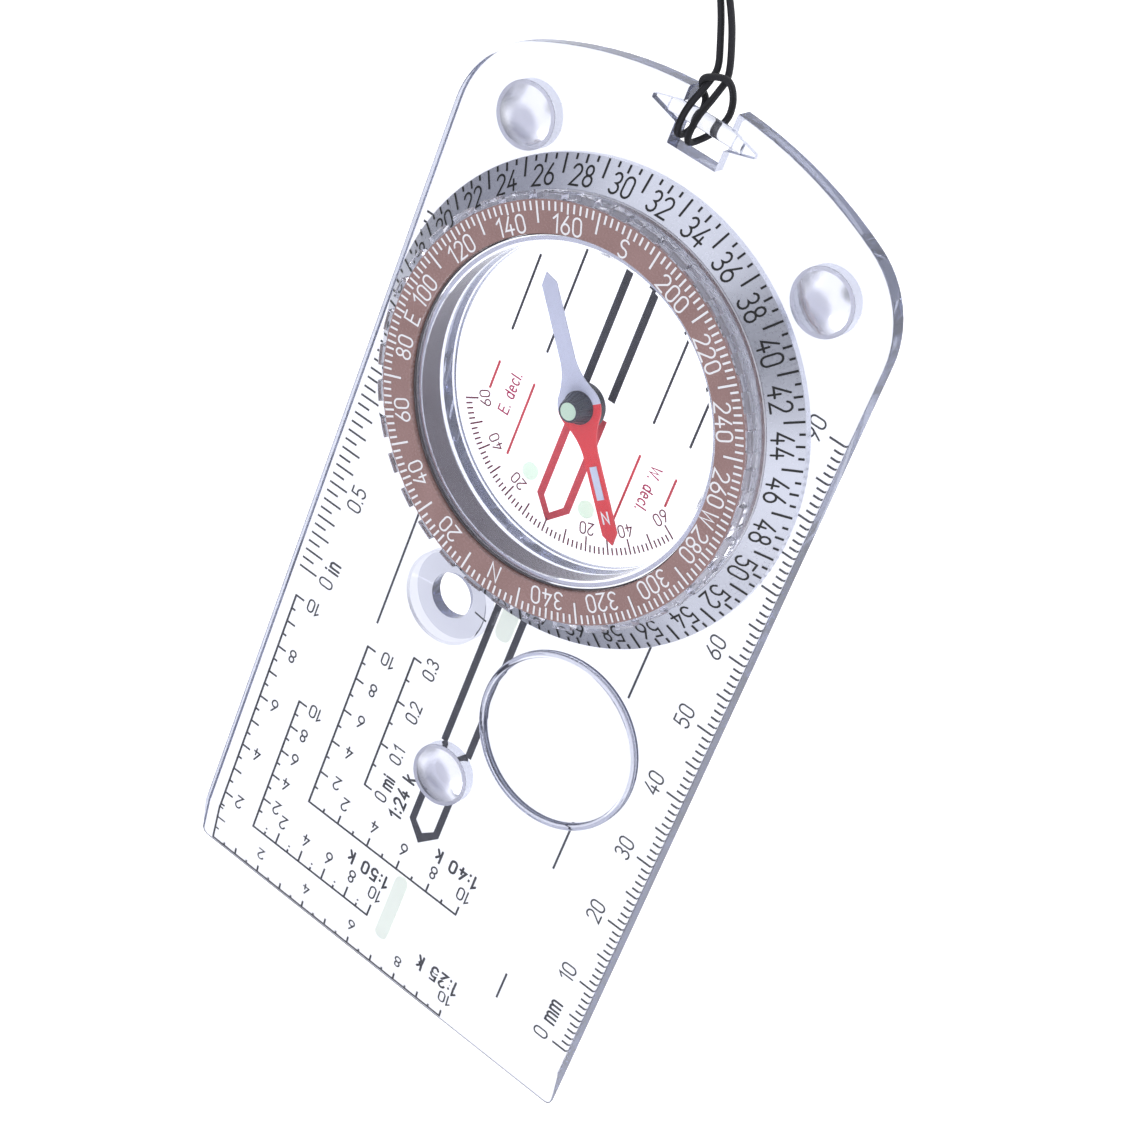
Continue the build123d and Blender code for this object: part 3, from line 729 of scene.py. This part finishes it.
def print_rulers(layer):
    """Millimetres along one side and inches along the other."""
    zero_mm, mm_x, mm_edge = 53.9, -25.3, -29.5
    for i in range(91):
        y = zero_mm - i
        inner = -27.2 if i % 10 == 0 else (-27.75 if i % 5 == 0 else -28.3)
        layer.stroke([(inner, y), (mm_edge, y)], TICK, square=True)
    print_zero(layer, mm_x, zero_mm, "mm", 3.7, RULER_FIGURE)
    for i in range(1, 10):
        layer.text(str(10 * i), (mm_x, zero_mm - 10 * i), RULER_FIGURE, FIGURE_LINE, -90)
    inch = 25.4
    zero_inch, inch_x, inch_edge = 18.6, 25.1, 29.5
    for i in range(41):
        y = zero_inch - i * inch / 20
        inner = 26.7 if i % 2 == 0 else 27.7
        layer.stroke([(inner, y), (inch_edge, y)], TICK, square=True)
    print_zero(layer, inch_x, zero_inch, "in", 2.5, RULER_FIGURE)
    for i in range(1, 5):
        layer.text(f"{i / 2:.1f}", (inch_x, zero_inch - i * inch / 2), RULER_FIGURE, FIGURE_LINE, -90)


def print_hole_marks(layer):
    """Short centring marks beside the marking hole."""
    layer.stroke([(7.9, 4.1), (7.9, 5.4)], 0.24, square=True)
    layer.stroke([(2.7, 9.3), (4.4, 9.3)], 0.24, square=True)


def print_plate():
    thick = Print(flat(PLATE_BOTTOM, facing=-1))
    print_travel_lines(thick)
    thick.finish("plate_travel_lines", DARK_INK, "base")
    fine = Print(flat(PLATE_BOTTOM, facing=-1))
    print_romers(fine)
    print_mile_scale(fine)
    print_rulers(fine)
    print_hole_marks(fine)
    fine.finish("plate_scales", BLACK_INK, "base")


# -------------------------------------------------------------- dial prints
def on_capsule_floor():
    return flat(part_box("capsule_floor")[1].z / MM, DIAL.xy)


def print_floor():
    """Two thick lines and four thin ones, red with a pointed end to the north and black to the south."""
    inner, outer, shoulder, tip, notch = 1.45, 2.45, 14.0, 16.6, 15.4
    red_start, black_start, black_end, thin = 1.3, -1.2, -17.6, 0.32
    red = Print(on_capsule_floor())
    red.area(
        [
            (outer, red_start),
            (outer, shoulder),
            (0, tip),
            (-outer, shoulder),
            (-outer, red_start),
            (-inner, red_start),
            (-inner, shoulder - 0.2),
            (0, notch),
            (inner, shoulder - 0.2),
            (inner, red_start),
        ]
    )
    for x, end in ((7.85, 12.0), (13.1, 6.0)):
        for side in (1, -1):
            red.stroke([(side * x, 2.5), (side * x, end)], thin)
    red.finish("floor_north_lines", RED_INK, "dial")
    dark = Print(on_capsule_floor())
    for side in (1, -1):
        x = side * (inner + outer) / 2
        dark.stroke([(x, black_start), (x, black_end)], outer - inner, square=True)
    for x, end in ((7.85, -15.5), (13.1, -11.8)):
        for side in (1, -1):
            dark.stroke([(side * x, -2.0), (side * x, end)], thin)
    dark.finish("floor_south_lines", DARK_INK, "dial")


def print_declination():
    words = Print(on_capsule_floor())
    words.text("E. decl.", (10.4, 5.15), 1.4, 0.2, -90)
    words.text("W. decl.", (-10.4, 5.45), 1.4, 0.2, 90)
    words.finish("declination_words", CRIMSON_INK, "dial")
    scale = Print(on_capsule_floor())
    for angle in range(-60, 61, 2):
        inner = 16.15 if angle % 10 == 0 else 17.1
        radial_tick(scale, angle, inner, 18.0, 0.21)
    for angle in (-60, -40, -20, 20, 40, 60):
        scale.text(str(abs(angle)), bearing(angle, 15.2), 1.4, 0.18, -angle)
    scale.finish("declination_scale", MAROON_INK, "dial")


def print_degree_ring():
    layer = Print(flat(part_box("degree_ring")[1].z / MM, DIAL.xy))
    quarters = {0: "N", 90: "E", 180: "S", 270: "W"}
    for angle in range(0, 360, 2):
        inner = 23.0
        if angle % 20 == 0 or angle in quarters:
            inner = 22.8
        elif angle % 10 == 0:
            inner = 21.6
        radial_tick(layer, angle, inner, 24.05, 0.25)
    for angle in sorted([*range(0, 360, 20), 90, 270]):
        words = quarters.get(angle, str(angle))
        layer.text(words, bearing(angle, 21.6), 2.0, 0.22, -angle)
    layer.finish("degree_figures", WHITE_INK, "dial")


def on_mil_cone():
    """Places prints on the conical face of the mil ring, by their distance from the dial's axis."""
    low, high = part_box("mil_ring")
    edge_r = (high.x - low.x) / 2 / MM
    edge_z = low.z / MM + 0.95
    rise, run = 2.15, 3.7
    slope = math.hypot(rise, run)
    normal_out, normal_up = rise / slope, run / slope

    def place(x, y):
        radius = math.hypot(x, y)
        out = Vector((x / radius, y / radius, 0))
        normal = out * normal_out + Vector((0, 0, normal_up))
        height = edge_z + (edge_r - radius) * rise / run
        point = Vector((DIAL.x, DIAL.y, height)) + out * radius
        return point + normal * INK_GAP, normal

    return place


def print_mil_ring():
    """6400 mils round the ring, with a figure each 200 that counts hundreds."""
    layer = Print(on_mil_cone())
    degrees_per_mil = 360 / 6400
    for i in range(128):
        mils = i * 50
        inner = 27.9
        if mils % 200 == 0:
            inner = 27.6
        elif mils % 100 == 0:
            inner = 26.45
        radial_tick(layer, mils * degrees_per_mil, inner, 28.5, 0.25)
    for hundred in range(2, 65, 2):
        angle = hundred * 100 * degrees_per_mil
        layer.text(str(hundred), bearing(angle, 26.35), 2.1, 0.23, -angle)
    layer.finish("mil_figures", BLACK_INK, "dial")


def print_needle():
    """The white letter near the tip of the north arm."""
    layer = Print(flat(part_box("needle")[1].z / MM, DIAL.xy))
    angle = -math.degrees(NEEDLE_TURN)
    layer.text("N", bearing(angle, 12.9), 1.25, 0.24, -angle)
    layer.finish("needle_letter", WHITE_INK, "needle")


# ------------------------------------------------------------------ lanyard
CORD_ROUTE = [
    (5.9, -74.2, 1.0),
    (4.5, -71.2, 0.55),
    (3.0, -67.5, 0.5),
    (1.9, -65.4, 1.0),
    (1.85, -64.1, 1.8),
    (2.0, -62.7, 2.7),
    (2.35, -60.9, 3.55),
    (2.6, -59.0, 3.6),
    (2.75, -57.4, 3.0),
    (2.7, -56.9, 1.9),
    (2.5, -57.3, 0.9),
    (2.2, -58.5, 0.5),
    (2.0, -60.3, 0.5),
    (2.0, -61.7, 0.9),
    (2.55, -62.3, 1.2),
    (2.7, -64.0, 2.4),
    (1.3, -64.9, 2.6),
    (0.24, -65.3, 2.7),
    (-0.4, -65.3, 2.4),
    (-1.0, -64.6, 2.0),
    (-1.4, -63.4, 1.6),
    (-1.4, -62.3, 1.1),
    (-1.2, -61.0, 0.55),
    (-0.6, -59.3, 0.5),
    (0.2, -58.0, 0.6),
    (0.9, -57.1, 1.2),
    (1.2, -56.8, 2.2),
    (1.25, -57.4, 3.1),
    (1.0, -59.0, 3.6),
    (0.8, -60.6, 3.55),
    (0.5, -62.3, 2.7),
    (0.35, -63.8, 1.9),
    (0.3, -65.0, 1.1),
    (1.4, -67.4, 0.5),
    (3.1, -71.3, 0.55),
    (4.9, -74.3, 1.0),
]
CORD_DIAMETER = 0.8


def add_cord():
    curve = bpy.data.curves.new("lanyard", "CURVE")
    curve.dimensions = "3D"
    curve.bevel_depth = CORD_DIAMETER / 2 * MM
    curve.bevel_resolution = 6
    curve.resolution_u = 12
    spline = curve.splines.new("NURBS")
    spline.points.add(len(CORD_ROUTE) - 1)
    for point, place in zip(spline.points, CORD_ROUTE):
        point.co = (*(c * MM for c in place), 1.0)
    spline.order_u = 3
    spline.use_endpoint_u = True
    curve.materials.append(CORD)
    piece = bpy.data.objects.new("lanyard", curve)
    bpy.context.scene.collection.objects.link(piece)
    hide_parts("lanyard_cord")
    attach(piece, "base")
    return piece


def add_knot():
    """An overhand knot: three lobes of the same cord, drawn tight."""
    low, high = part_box("lanyard_knot")
    centre = (low + high) / 2 / MM
    size = (high - low) / 2 / MM
    steps, tightness, swell, flatness = 96, 0.62, 1.25, 0.75
    thickness = CORD_DIAMETER * tightness
    reach = [s - thickness * tightness for s in size]
    curve = bpy.data.curves.new("knot", "CURVE")
    curve.dimensions = "3D"
    curve.bevel_depth = thickness * MM / 2 * swell
    curve.bevel_resolution = 6
    spline = curve.splines.new("POLY")
    spline.points.add(steps - 1)
    spline.use_cyclic_u = True
    for i, point in enumerate(spline.points):
        t = 2 * math.pi * i / steps
        x = (math.sin(t) + 2 * math.sin(2 * t)) / 3.0
        y = (math.cos(t) - 2 * math.cos(2 * t)) / 3.0
        z = -math.sin(3 * t)
        place = centre + Vector((x * reach[0], y * reach[1], z * reach[2] * flatness))
        point.co = (*(place * MM), 1.0)
    curve.materials.append(CORD)
    piece = bpy.data.objects.new("lanyard_end_knot", curve)
    bpy.context.scene.collection.objects.link(piece)
    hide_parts("lanyard_knot")
    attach(piece, "base")
    return piece


# -------------------------------------------------------------------- stage
def add_floor():
    """A plain pale sheet, just under the feet, that glows near the compass and fades away from it."""
    mesh = bpy.data.meshes.new("floor")
    half, under, near, far = 1.5, -0.00002, 0.22, 0.75
    corners = [(-half, -half), (half, -half), (half, half), (-half, half)]
    mesh.from_pydata([(x, y, under) for x, y in corners], [], [(0, 1, 2, 3)])
    material = new_material("pale_floor")
    n = Nodes(material.node_tree)
    shader = n.add("ShaderNodeBsdfPrincipled")
    shader.inputs["Base Color"].default_value = (0.35, 0.35, 0.36, 1)
    shader.inputs["Roughness"].default_value = 0.9
    shader.inputs["Specular IOR Level"].default_value = 0.1
    shader.inputs["Emission Color"].default_value = (1, 1, 1, 1)
    lit = n.span(n.length(n.object_coords()), 1.24, 0.3, near, far, "SMOOTHSTEP")
    n.put(shader.inputs["Emission Strength"], lit)
    n.output(shader.outputs[0])
    mesh.materials.append(material)
    floor = bpy.data.objects.new("floor", mesh)
    bpy.context.scene.collection.objects.link(floor)


def add_area_light(name, place, target, size, power):
    light = bpy.data.lights.new(name, "AREA")
    light.shape = "RECTANGLE"
    light.size, light.size_y = size
    light.energy = power
    lamp = bpy.data.objects.new(name, light)
    lamp.location = place
    lamp.rotation_mode = "QUATERNION"
    lamp.rotation_quaternion = (Vector(target) - Vector(place)).to_track_quat("-Z", "Y")
    bpy.context.scene.collection.objects.link(lamp)


# The grey flags round the table: each one's direction, the cosines at which it starts and is full, and how
# much of the light it leaves.
FLAGS = [
    ((0.92, -0.05, 0.38), 0.82, 0.97, 0.3),
    ((-0.33, -0.33, 0.88), 0.92, 0.985, 0.1),
    ((0.32, 0.86, 0.36), 0.84, 0.965, 0.4),
    ((-0.36, 0.60, 0.70), 0.955, 0.985, 0.2),
    ((0.37, 0.49, 0.79), 0.87, 0.965, 0.5),
]


def add_world():
    """Soft white studio dome that darkens at the horizon and at the flags."""
    world = bpy.data.worlds.new("studio")
    bpy.context.scene.world = world
    world.use_nodes = True
    world.node_tree.nodes.clear()
    n = Nodes(world.node_tree)
    coords = n.add("ShaderNodeTexCoord").outputs["Generated"]
    height = n.add("ShaderNodeSeparateXYZ", Vector=coords).outputs["Z"]
    light = n.ramp(height, (0.03, 0.03, 0.04), (0.93, 0.94, 1.0), 0.0, 0.42)
    for toward, start, full, left in FLAGS:
        nearness = n.dot(coords, Vector(toward).normalized())
        flag = n.ramp(nearness, (1, 1, 1), (left, left, left * 1.12), start, full, "EASE")
        light = n.mix(1.0, light, flag, "MULTIPLY")
    sky = n.add("ShaderNodeBackground", Color=light)
    sky.inputs["Strength"].default_value = 1.2
    n.add("ShaderNodeOutputWorld", Surface=sky.outputs[0])


def set_light():
    add_floor()
    add_world()
    add_area_light("key", (-0.25, 0.45, 0.7), (0, 0, 0), (0.3, 0.3), 1.2)
    scene = bpy.context.scene
    scene.view_settings.view_transform = "Standard"
    # Light that stays inside the plate by total reflection counts as glossy bounces.
    scene.cycles.transparent_max_bounces = 32
    scene.cycles.max_bounces = 32
    scene.cycles.transmission_bounces = 24
    scene.cycles.glossy_bounces = 24


# --------------------------------------------------------------------- make
add_camera()
cord = add_cord()
knot = add_knot()
paint_nodes()
print_plate()
print_floor()
print_declination()
print_degree_ring()
print_mil_ring()
print_needle()
set_light()
